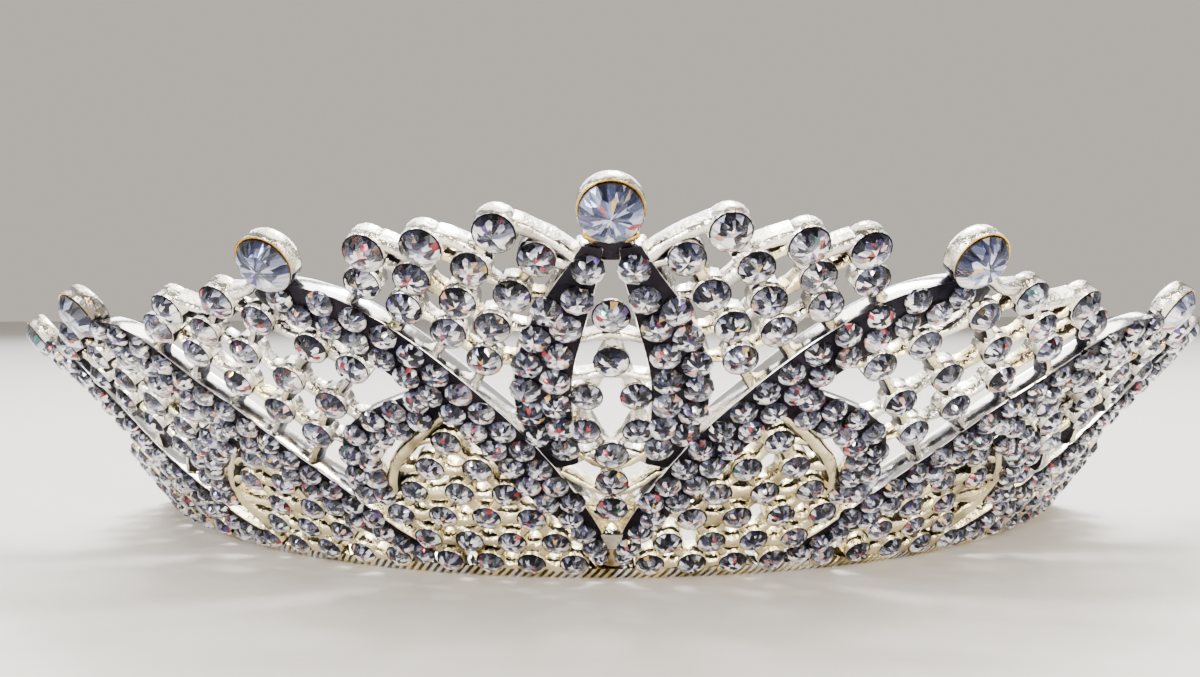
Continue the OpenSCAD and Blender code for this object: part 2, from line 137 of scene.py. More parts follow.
# Tables of the fine work that part.scad leaves out
# smooth strands that sweep along the crest: along, up, half width
STRANDS = [
    [(7.3, 46.6, 0.7), (5.6, 45.7, 0.55), (3.7, 44.2, 0.5), (2.0, 41.9, 0.6)],
    [(12.8, 45.3, 0.7), (11.2, 44.7, 0.55), (9.9, 43.7, 0.5), (8.9, 42.6, 0.6)],
    [(17.4, 44.8, 0.7), (15.9, 44.0, 0.55), (14.6, 42.8, 0.5), (13.4, 42.0, 0.6)],
    [(33.0, 39.5, 0.7), (31.2, 39.6, 0.5), (29.4, 40.8, 0.5), (27.9, 42.0, 0.7)],
    [(39.7, 38.6, 0.7), (38.0, 38.1, 0.5), (36.2, 37.6, 0.5), (34.6, 37.8, 0.7)],
    [(42.9, 36.4, 0.7), (41.9, 37.2, 0.5), (41.0, 38.0, 0.5)],
    [(61.8, 35.2, 0.7), (60.2, 35.9, 0.5), (58.8, 36.7, 0.5), (57.4, 37.4, 0.7)],
    [(66.0, 33.2, 0.7), (64.6, 34.0, 0.5), (63.0, 34.4, 0.5)],
    [(66.8, 32.4, 0.8), (68.8, 30.6, 0.5), (71.0, 29.4, 0.7)]]
# crescents of the web along the inner edge of each hook
CRESCENTS = [
    [(15.2, 24.2, 0.4), (17.2, 22.4, 0.6), (19.2, 20.2, 0.7), (21.2, 17.9, 0.75), (22.6, 15.2, 0.75),
     (23.0, 12.4, 0.6)],
    [(42.2, 18.0, 0.4), (43.9, 16.2, 0.6), (45.8, 13.9, 0.75), (47.2, 11.2, 0.8), (46.9, 8.4, 0.9),
     (45.6, 6.2, 1.3), (44.0, 4.4, 1.2)]]
# ribs from the lower rows to the hooks and arms: from a place to a place
ROW_RIBS = ["15.6,20.8 19.0,20.6", "18.0,17.0 21.8,16.7", "20.5,13.4 23.0,12.6", "22.95,9.7 25.0,9.8",
            "25.4,2.4 23.0,5.0", "23.7,2.4 21.8,4.6", "40.3,16.8 44.4,15.6", "42.4,13.1 46.4,12.4",
            "39.8,9.3 46.6,8.8", "41.9,5.8 45.4,6.2", "15.6,20.8 12.4,22.2", "13.1,17.0 10.0,18.6",
            "10.6,13.4 7.6,14.6", "8.4,9.7 5.2,10.6", "6.1,5.9 3.2,7.0", "40.3,16.8 37.6,18.0",
            "37.4,13.1 34.0,13.8", "34.8,9.3 30.6,9.8", "32.0,5.8 27.4,6.4", "64.5,13.0 61.6,14.0",
            "61.4,9.3 58.6,10.0", "58.4,5.8 54.8,6.2"]
# rows of pave stones, one at the start of an arm and two further up, which on the first arm end at its tip:
# path, way to its left, distance between stones, first and last place along it
PAVE_ROWS = [
    (ARM[0], -0.5, 2.6, 1.2, 6.5), (ARM[0], 1.16, 2.95, 8.4, 41.5), (ARM[0], -1.16, 2.95, 9.8, 42.5),
    (ARM[1], 0.0, 2.6, 1.2, 6.5), (ARM[1], 1.16, 2.95, 8.4, None), (ARM[1], -1.16, 2.95, 9.8, None),
    (ARM[2], 0.0, 2.6, 1.2, 6.5), (ARM[2], 1.16, 2.95, 8.4, None), (ARM[2], -1.16, 2.95, 9.8, None),
    (ARM[0], 0.1, 2.95, 44.3, 44.5),
    (HOOK[0], 1.06, 2.85, 1.0, None), (HOOK[0], -1.06, 2.65, 2.4, None),
    (HOOK[1], 1.06, 2.85, 1.0, None), (HOOK[1], -1.06, 2.65, 2.4, None)]
# pave stones of an arch, a little larger: along, up
LARGER = 0.14
ARCH_STONES = [(1.65, 42.1), (2.5, 38.8), (3.5, 35.6), (4.3, 32.3), (4.7, 29.2), (4.8, 26.1), (4.6, 23.1),
               (4.3, 20.3), (4.9, 37.5), (6.0, 34.4), (6.9, 31.3), (7.3, 28.2), (7.1, 25.1), (6.6, 22.2)]
# ribs that cradle the stones of the middle column, broad ones above and thin below: along, up, half width
BROAD_RIBS = [
    [(-3.6, 33.4, 0.5), (-1.7, 34.0, 0.4), (0.0, 34.4, 0.6), (1.7, 34.0, 0.4), (3.6, 33.4, 0.5)],
    [(-4.6, 29.0, 0.5), (-2.1, 29.4, 0.4), (0.0, 29.8, 0.6), (2.1, 29.4, 0.4), (4.6, 29.0, 0.5)]]
THIN_RIBS = [
    [(-5.0, 16.6, 0.35), (-2.4, 14.4, 0.45), (0.0, 13.4, 0.5), (2.4, 14.4, 0.45), (5.0, 16.6, 0.35)],
    [(-3.8, 12.4, 0.35), (-1.9, 10.3, 0.45), (0.0, 9.4, 0.5), (1.9, 10.3, 0.45), (3.8, 12.4, 0.35)],
    [(-4.2, 20.2, 0.35), (-2.2, 18.2, 0.45), (0.0, 17.2, 0.5), (2.2, 18.2, 0.45), (4.2, 20.2, 0.35)]]
# neck and claws under the centre stone, and the plate and stem where the first arms meet
NECK = [(0.0, 46.0, 1.7), (0.0, 44.2, 1.3), (0.0, 42.7, 0.8)]
CLAWS = [[(-1.9, 45.6, 0.3), (-1.2, 45.2, 0.45), (-0.5, 45.3, 0.3)],
         [(0.5, 45.3, 0.3), (1.2, 45.2, 0.45), (1.9, 45.6, 0.3)]]
PLATE = [(0.0, 7.5, 1.25), (0.0, 6.3, 1.05), (0.0, 5.1, 0.8)]
STEM = [(0.0, 5.6, 0.7), (0.0, 3.6, 0.6), (0.0, 1.6, 1.2)]

rng = random.Random(20)
noise.seed_set(20)      # without it the uneven skin would differ a little from run to run


# The wall
def lean_at(b):
    """Outward lean of the wall, in radians, at a distance along the band."""
    return math.radians(FLARE + FLARE_GAIN * (b / FLARE_PLACE) ** 2)


def place_on_wall(a, h):
    """Foot point and the directions along, up and out of the wall at a place of the flat pattern, in mm."""
    s = a + SWAY * a * a * (h - SWAY_HEIGHT)
    b, side = abs(s), (-1.0 if s < 0 else 1.0)
    t1 = FRONT_HALF / FRONT_RADIUS
    if b < FRONT_HALF:
        t = b / FRONT_RADIUS
        x, y = FRONT_RADIUS * math.sin(t), FRONT_RADIUS * (1 - math.cos(t))
    else:
        t = t1 + (b - FRONT_HALF) / SIDE_RADIUS
        x = FRONT_RADIUS * math.sin(t1) + SIDE_RADIUS * (math.sin(t) - math.sin(t1))
        y = FRONT_RADIUS * (1 - math.cos(t1)) + SIDE_RADIUS * (math.cos(t1) - math.cos(t))
    t *= side
    d = lean_at(b)
    along = Vector((math.cos(t), math.sin(t), 0.0))
    up = Vector((math.sin(d) * math.sin(t), -math.sin(d) * math.cos(t), math.cos(d)))
    out = Vector((math.cos(d) * math.sin(t), -math.cos(d) * math.cos(t), -math.sin(d)))
    return Vector((side * x, y, 0.0)) - MIDDLE_OF_BASE, along, up, out


def on_wall(a, h, z):
    """The same place, z out of the wall, in metres."""
    foot, along, up, out = place_on_wall(a, h)
    return (foot + up * h + out * z) / 1000.0


def frame_on_wall(a, h, z, turn):
    """Matrix that sets a piece drawn in mm upright on the wall, in metres."""
    foot, along, up, out = place_on_wall(a, h)
    p = foot + up * h + out * z
    m = Matrix(((along.x, up.x, out.x, p.x), (along.y, up.y, out.y, p.y), (along.z, up.z, out.z, p.z),
                (0, 0, 0, 1)))
    return Matrix.Scale(0.001, 4) @ m @ Matrix.Rotation(turn, 4, "Z")


# Materials
def linear(code):
    """sRGB hex to linear."""
    parts = [int(code[i:i + 2], 16) / 255.0 for i in (1, 3, 5)]
    return [p / 12.92 if p <= 0.04045 else ((p + 0.055) / 1.055) ** 2.4 for p in parts] + [1.0]


def add(tree, kind, settings=(), links=()):
    """One node with its settings and its links: (input, node, output)."""
    n = tree.nodes.new(kind)
    for key, value in dict(settings).items():
        if isinstance(key, str) and hasattr(n, key):
            setattr(n, key, value)
        else:
            n.inputs[key].default_value = value
    for socket, source, name in links:
        tree.links.new(source.outputs[name], n.inputs[socket])
    return n


def stops(ramp, table, interpolation="LINEAR"):
    """Sets the stops of a colour ramp: (place, colour)."""
    ramp.color_ramp.interpolation = interpolation
    e = ramp.color_ramp.elements
    while len(e) < len(table):
        e.new(0.5)
    for item, (place, code) in zip(e, table):
        item.position = place
        item.color = linear(code)
    return ramp


def empty_material(name):
    m = bpy.data.materials.new(name)
    m.use_nodes = True
    m.node_tree.nodes.clear()
    return m, m.node_tree


CLOUD_MM = 7.0          # size of the dark patches, about that of a web of the casting
PATCH_EDGE = 0.27       # softness of their edges
GRAIN_DEPTH = 0.00035   # in metres, coarser than a real tumbled skin, so that it shows


def metal(name, light, dark, roughness, grain_mm, relief, patches):
    """White metal, cast, tumbled and plated: bright with a soft grain, and in patches the dark colour."""
    m, t = empty_material(name)
    where = add(t, "ShaderNodeTexCoord")
    cloud = add(t, "ShaderNodeTexNoise", {"Scale": 1000.0 / CLOUD_MM, "Detail": 3.0, "Roughness": 0.6},
                [("Vector", where, "Object")])
    grain = add(t, "ShaderNodeTexNoise", {"Scale": 1000.0 / grain_mm, "Detail": 4.0, "Roughness": 0.65},
                [("Vector", where, "Object")])
    tone = stops(add(t, "ShaderNodeValToRGB", (), [("Fac", cloud, "Fac")]),
                 [(patches, dark), (patches + PATCH_EDGE, light)])
    rough = add(t, "ShaderNodeMapRange", {"From Min": 0.3, "From Max": 0.7, "To Min": roughness * 0.7,
                                          "To Max": roughness * 1.5}, [("Value", grain, "Fac")])
    bump = add(t, "ShaderNodeBump", {"Strength": relief, "Distance": GRAIN_DEPTH}, [("Height", grain, "Fac")])
    shader = add(t, "ShaderNodeBsdfPrincipled", {"Metallic": 1.0},
                 [("Base Color", tone, "Color"), ("Roughness", rough, "Result"), ("Normal", bump, "Normal")])
    add(t, "ShaderNodeOutputMaterial", (), [("Surface", shader, "BSDF")])
    return m


# The cut of the crystals, with lengths in radii of the stone
ZIGZAG = 0.34                           # how far the borders of the rings go in and out
PARTING = 531.7                         # parts the stones' numbers, so that each has facets of its own
FACET_LEAN = 0.25                       # the most that a facet leans to a side
# places on the ramp of the painted tones of reflection
TONE_PLACES = (0.0, 0.13, 0.27, 0.38, 0.47, 0.56, 0.65, 0.74)
# painted fire: colours of dispersed light on a few facets
FIRE = [(0.0, "#96343a"), (0.34, "#d9a598"), (0.64, "#c8a766"), (0.76, "#5d4889"), (0.93, "#35695f")]
FIRE_FROM, FIRE_LOW = 0.93, 0.05        # chance from which a facet has painted fire, and its gain lower down
# painted shade: a dark line round the girdle, its colour and where it begins and ends, in radii
GIRDLE_SHADE, GIRDLE_SHADE_EDGE = "#2c241e", (0.955, 0.985)
MIX_FACTOR, MIX_FROM, MIX_TO, MIX_RESULT = 0, 6, 7, 2       # sockets of a mix of colours


def cut_crystal(name, sectors, inner_ring, outer_ring, least, spread, shade, tones):
    """Foil-backed lead crystal, machine cut and polished, its reflections painted. The attribute "cut" holds
    the place on the stone, across and up from its middle, and the stone's own number. Wedge-shaped facets lie
    in three rings, twice as many in the outer two. Each facet leans its own way and carries one painted
    reflection, dark, grey or clear white, with painted shade darker towards the top, and a few carry painted
    fire in colour. A dark line of painted shade runs round the girdle."""
    m, t = empty_material(name)
    cut = add(t, "ShaderNodeAttribute", {"attribute_name": "cut"})
    part = add(t, "ShaderNodeSeparateXYZ", (), [("Vector", cut, "Vector")])
    flat = add(t, "ShaderNodeVectorMath", {"operation": "MULTIPLY", 1: (1, 1, 0)}, [(0, cut, "Vector")])
    radius = add(t, "ShaderNodeVectorMath", {"operation": "LENGTH"}, [(0, flat, "Vector")])
    # the facet: its number round the stone and its ring
    angle = add(t, "ShaderNodeMath", {"operation": "ARCTAN2"}, [(0, part, "Y"), (1, part, "X")])
    own = add(t, "ShaderNodeMath", {"operation": "MULTIPLY_ADD", 1: 1 / math.tau},
              [(0, angle, "Value"), (2, part, "Z")])
    turn = add(t, "ShaderNodeMath", {"operation": "FRACT"}, [(0, own, "Value")])
    wedge = add(t, "ShaderNodeMath", {"operation": "MULTIPLY", 1: sectors}, [(0, turn, "Value")])
    zigzag = add(t, "ShaderNodeMath", {"operation": "PINGPONG", 1: 0.5}, [(0, wedge, "Value")])
    reach = add(t, "ShaderNodeMath", {"operation": "MULTIPLY_ADD", 1: ZIGZAG},
                [(0, zigzag, "Value"), (2, radius, "Value")])
    ring_1 = add(t, "ShaderNodeMath", {"operation": "GREATER_THAN", 1: inner_ring}, [(0, reach, "Value")])
    ring_2 = add(t, "ShaderNodeMath", {"operation": "GREATER_THAN", 1: outer_ring}, [(0, reach, "Value")])
    ring = add(t, "ShaderNodeMath", {"operation": "ADD"}, [(0, ring_1, "Value"), (1, ring_2, "Value")])
    finer = add(t, "ShaderNodeMath", {"operation": "MULTIPLY_ADD"},
                [(0, wedge, "Value"), (1, ring_1, "Value"), (2, wedge, "Value")])
    half = add(t, "ShaderNodeMath", {"operation": "MULTIPLY_ADD", 1: 0.5},
               [(0, ring, "Value"), (2, finer, "Value")])
    count = add(t, "ShaderNodeMath", {"operation": "FLOOR"}, [(0, half, "Value")])
    number = add(t, "ShaderNodeMath", {"operation": "MULTIPLY", 1: PARTING}, [(0, part, "Z")])
    key = add(t, "ShaderNodeCombineXYZ", (),
              [("X", count, "Value"), ("Y", ring, "Value"), ("Z", number, "Value")])
    chance = add(t, "ShaderNodeTexWhiteNoise", {"noise_dimensions": "3D"}, [("Vector", key, "Vector")])
    # its painted reflection, with painted shade darker towards the stone's top
    level = add(t, "ShaderNodeMath", {"operation": "MULTIPLY_ADD", 1: spread, 2: least},
                [(0, chance, "Value")])
    shaded = add(t, "ShaderNodeMath", {"operation": "MULTIPLY_ADD", 1: -shade},
                 [(0, part, "Y"), (2, level, "Value")])
    tone = stops(add(t, "ShaderNodeValToRGB", (), [("Fac", shaded, "Value")]),
                 list(zip(TONE_PLACES, tones)), "CONSTANT")
    # the few facets of painted fire in colour, more of them low on the stone
    colours = add(t, "ShaderNodeSeparateColor", (), [("Color", chance, "Color")])
    fire = stops(add(t, "ShaderNodeValToRGB", (), [("Fac", colours, "Green")]), FIRE, "CONSTANT")
    low = add(t, "ShaderNodeMath", {"operation": "MULTIPLY_ADD", 1: -FIRE_LOW},
              [(0, part, "Y"), (2, colours, "Red")])
    broken = add(t, "ShaderNodeMath", {"operation": "GREATER_THAN", 1: FIRE_FROM}, [(0, low, "Value")])
    lit = add(t, "ShaderNodeMix", {"data_type": "RGBA"},
              [(MIX_FACTOR, broken, "Value"), (MIX_FROM, tone, "Color"), (MIX_TO, fire, "Color")])
    # a dark line of painted shade round the girdle
    girdle_line = add(t, "ShaderNodeMapRange", {"From Min": GIRDLE_SHADE_EDGE[0], "From Max": GIRDLE_SHADE_EDGE[1]},
               [("Value", radius, "Value")])
    edged = add(t, "ShaderNodeMix", {"data_type": "RGBA", MIX_TO: linear(GIRDLE_SHADE)},
                [(MIX_FACTOR, girdle_line, "Result"), (MIX_FROM, lit, MIX_RESULT)])
    # its lean, which moves the reflections from facet to facet
    lean = add(t, "ShaderNodeVectorMath",
               {"operation": "MULTIPLY_ADD", 1: (2 * FACET_LEAN,) * 3, 2: (-FACET_LEAN,) * 3},
               [(0, chance, "Color")])
    face = add(t, "ShaderNodeNewGeometry")
    leaning = add(t, "ShaderNodeVectorMath", {"operation": "ADD"}, [(0, face, "Normal"), (1, lean, "Vector")])
    normal = add(t, "ShaderNodeVectorMath", {"operation": "NORMALIZE"}, [(0, leaning, "Vector")])
    shader = add(t, "ShaderNodeBsdfPrincipled",
                 {"Metallic": 0.45, "Roughness": 0.06, "IOR": 1.6, "Specular IOR Level": 0.3,
                  "Coat Weight": 0.12, "Coat Roughness": 0.02},
                 [("Base Color", edged, MIX_RESULT), ("Normal", normal, "Vector")])
    add(t, "ShaderNodeOutputMaterial", (), [("Surface", shader, "BSDF")])
    return m


# The finishes of the metal, two of them painted shade, and the number that a face carries for each
# name, light and dark colour, roughness, size of the grain in mm, its relief, share of the dark patches
BRIGHT, LACQUERED, PAINTED_SHADE, BRASS, POLISHED, PAINTED_GROOVE_SHADE = range(6)
METALS = [metal(*row) for row in (
    # plated bright, and greyer in patches
    ("silver_plated_casting", "#fcf8ec", "#787268", 0.12, 1.4, 0.7, 0.3),
    # the lower webs, where old lacquer turns the plate cream and brown
    ("silver_plate_warmed_by_lacquer", "#fff2c4", "#6f5a32", 0.13, 1.3, 0.7, 0.27),
    # painted shade and painted dark reflection, dull and nearly black, between and under the stones and on
    # fronts
    ("silver_plate_painted_with_shade_and_dark_reflection", "#28252b", "#0e0e16", 0.32, 0.9, 0.5, 0.35),
    # round the large stones and on the claws, rubbed through to yellow brass
    ("brass_showing_through_the_plate", "#e8c063", "#8d6a2b", 0.25, 0.6, 0.3, 0.35),
    # the sides of the arms, filed and buffed, with clear reflections
    ("silver_plate_polished_arm_sides", "#fbfbfd", "#d9d8dc", 0.14, 2.2, 0.15, 0.35),
    # painted shade in the grooves of the rope milling, olive grey
    ("silver_plate_painted_with_shade_in_the_milling", "#877b5e", "#3b3322", 0.3, 0.8, 0.4, 0.35))]

# The stones
# name, facets of the inner ring, where the second and the third ring begin, least tone, spread of the tones,
# painted shade towards the top, painted tones of reflection from dark to light
# small ones: a few hard facets of painted reflection, from black to clear white
CRYSTAL = cut_crystal("foil_backed_cut_crystal", 7, 0.46, 0.82, 0.0, 0.96, 0.42, (
    "#030409", "#0a0c1c", "#1a1c32", "#363850", "#676a80", "#a6a9ba", "#eff0f6", "#ffffff"))
# centre: many fine facets of painted reflection in blue greys
CRYSTAL_LARGE = cut_crystal("foil_backed_cut_crystal_large", 11, 0.3, 0.68, 0.0, 0.72, 0.24, (
    "#14172a", "#2c3352", "#525b80", "#7c86a8", "#979fbb", "#b3b9cf", "#d6d9e8", "#ffffff"))
# tips: painted shade dark above, and painted reflections pale below
CRYSTAL_TIP = cut_crystal("foil_backed_cut_crystal_of_the_tips", 8, 0.34, 0.72, 0.04, 0.8, 0.42, (
    "#0c0e1c", "#1d2138", "#343a56", "#5c6484", "#8f97b4", "#b6bccf", "#dcdfea", "#ffffff"))


# Modelling helpers
def deselect():
    if bpy.context.object and bpy.context.object.mode != "OBJECT":
        bpy.ops.object.mode_set(mode="OBJECT")
    bpy.ops.object.select_all(action="DESELECT")


def pick_faces(obj, test):
    """Selects the faces whose centre and normal pass the test, and goes to edit mode."""
    bpy.ops.object.mode_set(mode="EDIT")
    bpy.ops.mesh.select_mode(type="FACE")
    bpy.ops.mesh.select_all(action="DESELECT")
    bpy.ops.object.mode_set(mode="OBJECT")
    for f in obj.data.polygons:
        f.select = bool(test(f.center, f.normal))
    bpy.ops.object.mode_set(mode="EDIT")


def extrude(depth):
    """Pushes the picked faces out, or in where the depth is negative, and goes back to object mode."""
    bpy.ops.mesh.extrude_region_move(TRANSFORM_OT_translate={"value": (0, 0, depth)})
    bpy.ops.object.mode_set(mode="OBJECT")


def modify(obj, kind, **settings):
    """Gives a piece a modifier and applies it."""
    m = obj.modifiers.new(kind.title(), kind)
    for key, value in settings.items():
        setattr(m, key, value)
    bpy.ops.object.modifier_apply(modifier=m.name)


def give_metals(mesh):
    mesh.materials.clear()
    for m in METALS:
        mesh.materials.append(m)


def smooth(path, per=4):
    """Points of a smooth curve through the path, with the other columns carried along."""
    p = [path[0]] + list(path) + [path[-1]]
    out = []
    for i in range(1, len(p) - 2):
        for k in range(per):
            u = k / per
            out.append(tuple(0.5 * (2 * b + (c - a) * u + (2 * a - 5 * b + 4 * c - d) * u * u
                                    + (3 * b - a - 3 * c + d) * u ** 3)
                             for a, b, c, d in zip(p[i - 1], p[i], p[i + 1], p[i + 2])))
    return out + [tuple(path[-1])]


def mirrored(path, side):
    return [(side * p[0],) + tuple(p[1:]) for p in path]


# Waves to a mm of the casting's uneven skin, of the lacquer's border and of the worn patches of the base edge
SKIN_WAVES, LACQUER_WAVES, WORN_WAVES = 0.9, 0.35, 0.3


def band(path, front, back, base, edge=0.25, per=4, across=2, face=None, dome=0.0, flare=NO_SLOPE,
         under_flare=NO_SLOPE, rough=0.0):
    """A band of metal along a path of the flat pattern: a grid laid along it, thickened and rounded. base is
    its finish and face that of its front. dome raises the middle of its front, flare widens its back on the
    left of the path and under_flare on the right, each with one value for the start and one for the end, and
    rough gives it the uneven skin of a casting."""
    pts = smooth(path, per)
    n = len(pts) - 1
    deselect()
    bpy.ops.mesh.primitive_grid_add(x_subdivisions=n, y_subdivisions=across, size=2.0)
    obj = bpy.context.object
    lie = []            # of each point of the grid: the way to its left, its place across and its place along
    for v in obj.data.vertices:
        u = min(max((v.co.x + 1) / 2 * n, 0.0), n)
        i = min(int(u + 1e-4), n - 1)
        f = u - i
        a, b = pts[i], pts[i + 1]
        before, after = pts[max(i - 1, 0)], pts[min(i + 2, n)]
        da = Vector((b[0] - before[0], b[1] - before[1]))
        db = Vector((after[0] - a[0], after[1] - a[1]))
        d = (da.normalized() * (1 - f) + db.normalized() * f).normalized()
        half = (a[2] * (1 - f) + b[2] * f) * v.co.y
        lie.append((Vector((-d.y, d.x, 0.0)), v.co.y, u / n))
        v.co = (a[0] * (1 - f) + b[0] * f - d.y * half, a[1] * (1 - f) + b[1] * f + d.x * half, front)
    modify(obj, "SOLIDIFY", thickness=front - back, offset=-1.0)
    for k, v in enumerate(obj.data.vertices):
        left, place, along = lie[k % len(lie)]
        start, end = flare if place > 0 else under_flare
        if k < len(lie):
            v.co.z += dome * (1 - place ** 2)
        else:
            v.co += left * place * (start * (1 - along) + end * along)
    modify(obj, "BEVEL", width=edge, segments=2, limit_method="ANGLE", angle_limit=math.radians(40))
    if rough:
        for v in obj.data.vertices:
            v.co += noise.noise_vector(v.co * SKIN_WAVES) * rough
        obj.data.update()
    colour_metal(obj, base, face)
    bpy.ops.object.shade_smooth_by_angle(angle=math.radians(40))
    return obj


def upper_side(side, slope):
    """Slopes the upper side of a band, its left in the right half of the tiara and its right in the left."""
    return {"flare": slope} if side > 0 else {"under_flare": slope}


LACQUER_TOP, LACQUER_WANDER = 11.0, 4.0     # height up to which polished sides are warmed, and its wander


def colour_metal(obj, base, face=None):
    """One finish all over, another on the front of a pave band, and painted shade, nearly black, on the faces
    that look down.
    """
    give_metals(obj.data)
    down = -0.12 if base == LACQUERED else -0.35
    # faces that look down get painted shade, nearly black
    for f in obj.data.polygons:
        under = f.normal.y < down and f.normal.z < 0.8
        border = LACQUER_TOP + LACQUER_WANDER * noise.noise(f.center * LACQUER_WAVES)
        low = base == POLISHED and f.center.y < border
        if face is not None and f.normal.z > 0.75:
            f.material_index = face
        else:
            f.material_index = PAINTED_SHADE if under else LACQUERED if low else base


SEAT_MARGIN = 0.12                          # how far a cup's seat reaches in under its stone
HOLLOW_RIM, HOLLOW_DEPTH = 0.35, 0.5        # of the hollow in its back


def cup(radius, rim, body, back, rise, sides, outer=BRIGHT, ring=PAINTED_SHADE, floor=-0.35, soft=0.0):
    """A round cup: a cone whose top is inset and sunk for the stone, with a hollow back that soft rounds off.
    The outer finish is on its wall, and the ring's on the seat round the stone and inside, except low down
    where the outer finish goes on; by default the ring is painted shade, nearly black."""
    deselect()
    bpy.ops.mesh.primitive_cone_add(vertices=sides, radius1=radius + body, radius2=radius + rim,
                                    depth=rise - back, location=(0, 0, (rise + back) / 2))
    obj = bpy.context.object
    bpy.ops.object.transform_apply(location=True, rotation=True, scale=True)
    if soft:
        pick_faces(obj, lambda c, n: n.z < -0.9)
        bpy.ops.mesh.bevel(offset=soft, segments=3)
        bpy.ops.object.mode_set(mode="OBJECT")
    pick_faces(obj, lambda c, n: n.z > 0.9)
    bpy.ops.mesh.inset(thickness=rim + SEAT_MARGIN)
    extrude(floor - rise)
    pick_faces(obj, lambda c, n: n.z < -0.9)
    bpy.ops.mesh.inset(thickness=HOLLOW_RIM)
    extrude(HOLLOW_DEPTH)
    colour_metal(obj, outer)
    # painted shade: the seat and the inside take the ring's finish, all but their lowest part
    for f in obj.data.polygons:
        inside = math.hypot(f.center.x, f.center.y) < radius - 0.05 and back + 0.7 < f.center.z
        if f.normal.z > 0.9 or inside:
            f.material_index = outer if f.center.y < -0.2 * radius else ring
    bpy.ops.object.shade_smooth_by_angle(angle=math.radians(35))
    return obj


CROWN_RISE, TABLE_RISE, GIRDLE = 0.035, 0.04, 0.22      # of a stone of radius 1


def gem(sides, table=0.56, crown=0.42):
    """A cut stone: a cone cut off at its table, its faces raised to facets and its girdle drawn down."""
    deselect()
    bpy.ops.mesh.primitive_cone_add(vertices=sides, radius1=1.0, radius2=table, depth=crown,
                                    location=(0, 0, crown / 2))
    obj = bpy.context.object
    bpy.ops.object.transform_apply(location=True, rotation=True, scale=True)
    pick_faces(obj, lambda c, n: 0.05 < n.z < 0.99)
    bpy.ops.mesh.poke(offset=CROWN_RISE)
    bpy.ops.object.mode_set(mode="OBJECT")
    pick_faces(obj, lambda c, n: n.z > 0.99)
    bpy.ops.mesh.poke(offset=TABLE_RISE)
    bpy.ops.object.mode_set(mode="OBJECT")
    pick_faces(obj, lambda c, n: n.z < -0.99)
    extrude(-GIRDLE)
    return obj


def copies(name, source, places, stone=None):
    """One mesh that holds a copy of the source at each place: (along, up, out, turn, size). A stone's copy
    also carries where each point lies on the stone and a number of its own."""
    verts, faces, mats, cut, soft = [], [], [], [], []
    src = source.data
    for a, h, z, turn, size in places:
        m = frame_on_wall(a, h, z, turn) @ Matrix.Diagonal((size, size, size, 1.0))
        k = len(verts)
        verts += [m @ v.co for v in src.vertices]
        faces += [[k + i for i in f.vertices] for f in src.polygons]
        mats += [0 if stone else f.material_index for f in src.polygons]
        soft += [False if stone else f.use_smooth for f in src.polygons]
        if stone:
            number, spin = rng.random(), Matrix.Rotation(turn, 3, "Z")
            for v in src.vertices:
                q = spin @ v.co
                cut += [q.x, q.y, number]
    mesh = bpy.data.meshes.new(name)
    mesh.from_pydata(verts, [], faces)
    for m in ([stone] if stone else METALS):
        mesh.materials.append(m)
    mesh.polygons.foreach_set("material_index", mats)
    mesh.polygons.foreach_set("use_smooth", soft)
    if stone:
        mesh.attributes.new("cut", "FLOAT_VECTOR", "POINT").data.foreach_set("vector", cut)
    mesh.update()
    obj = bpy.data.objects.new(name, mesh)
    bpy.context.scene.collection.objects.link(obj)
    return obj


def wrap(obj):
    """Lays a piece of the flat pattern on the wall."""
    for v in obj.data.vertices:
        v.co = on_wall(*v.co)
    obj.data.update()
    return obj


def joined(name, objs):
    deselect()
    for o in objs:
        o.select_set(True)
    bpy.context.view_layer.objects.active = objs[0]
    if len(objs) > 1:
        bpy.ops.object.join()
    obj = bpy.context.object
    obj.name = name
    obj.data.name = name
    return obj


def hand_over(obj, nodes):
    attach(obj, "root")
    if nodes:
        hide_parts(*nodes)


def spread(path, offset, pitch, first, last):
    """Places at an even pitch along a path, set to its left. Without a last one they go to the path's end."""
    pts = smooth(path, 12)
    d, out, want = 0.0, [], first
    total = sum(math.dist(p[:2], q[:2]) for p, q in zip(pts, pts[1:]))
    for p, q in zip(pts, pts[1:]):
        step = math.dist(p[:2], q[:2])
        while d + step >= want and want <= (total if last is None else last) and step > 0:
            u = (want - d) / step
            x, y = p[0] + (q[0] - p[0]) * u, p[1] + (q[1] - p[1]) * u
            nx, ny = -(q[1] - p[1]) / step, (q[0] - p[0]) / step
            out.append((x + nx * offset, y + ny * offset))
            want += pitch
        d += step
    return out


def link_between(ends, names, side, base=BRIGHT, width=(1.1, 0.42), front=LINK_FRONT, back=BACK, sag=0.15):
    """A link of the casting from one stone or place to another, no two quite alike. Its half width is given
    at its ends and at its waist."""
    a, b = [names[w][:2] if w in names else tuple(float(v) for v in w.split(",")) for w in ends.split()]
    mid = ((a[0] + b[0]) / 2 + rng.uniform(-0.3, 0.3), (a[1] + b[1]) / 2 - sag + rng.uniform(-0.25, 0.25))
    waist = width[1] * rng.uniform(0.7, 1.45)
    path = mirrored([(a[0], a[1], width[0]), (mid[0], mid[1], waist), (b[0], b[1], width[0])], side)
    return band(path, front, back, base, edge=0.35, dome=0.4, flare=LINK_SLOPE, under_flare=LINK_SLOPE,
                rough=0.2)


def turned():
    """A turn by chance, so that no two stones sit alike."""
    return rng.random() * math.tau


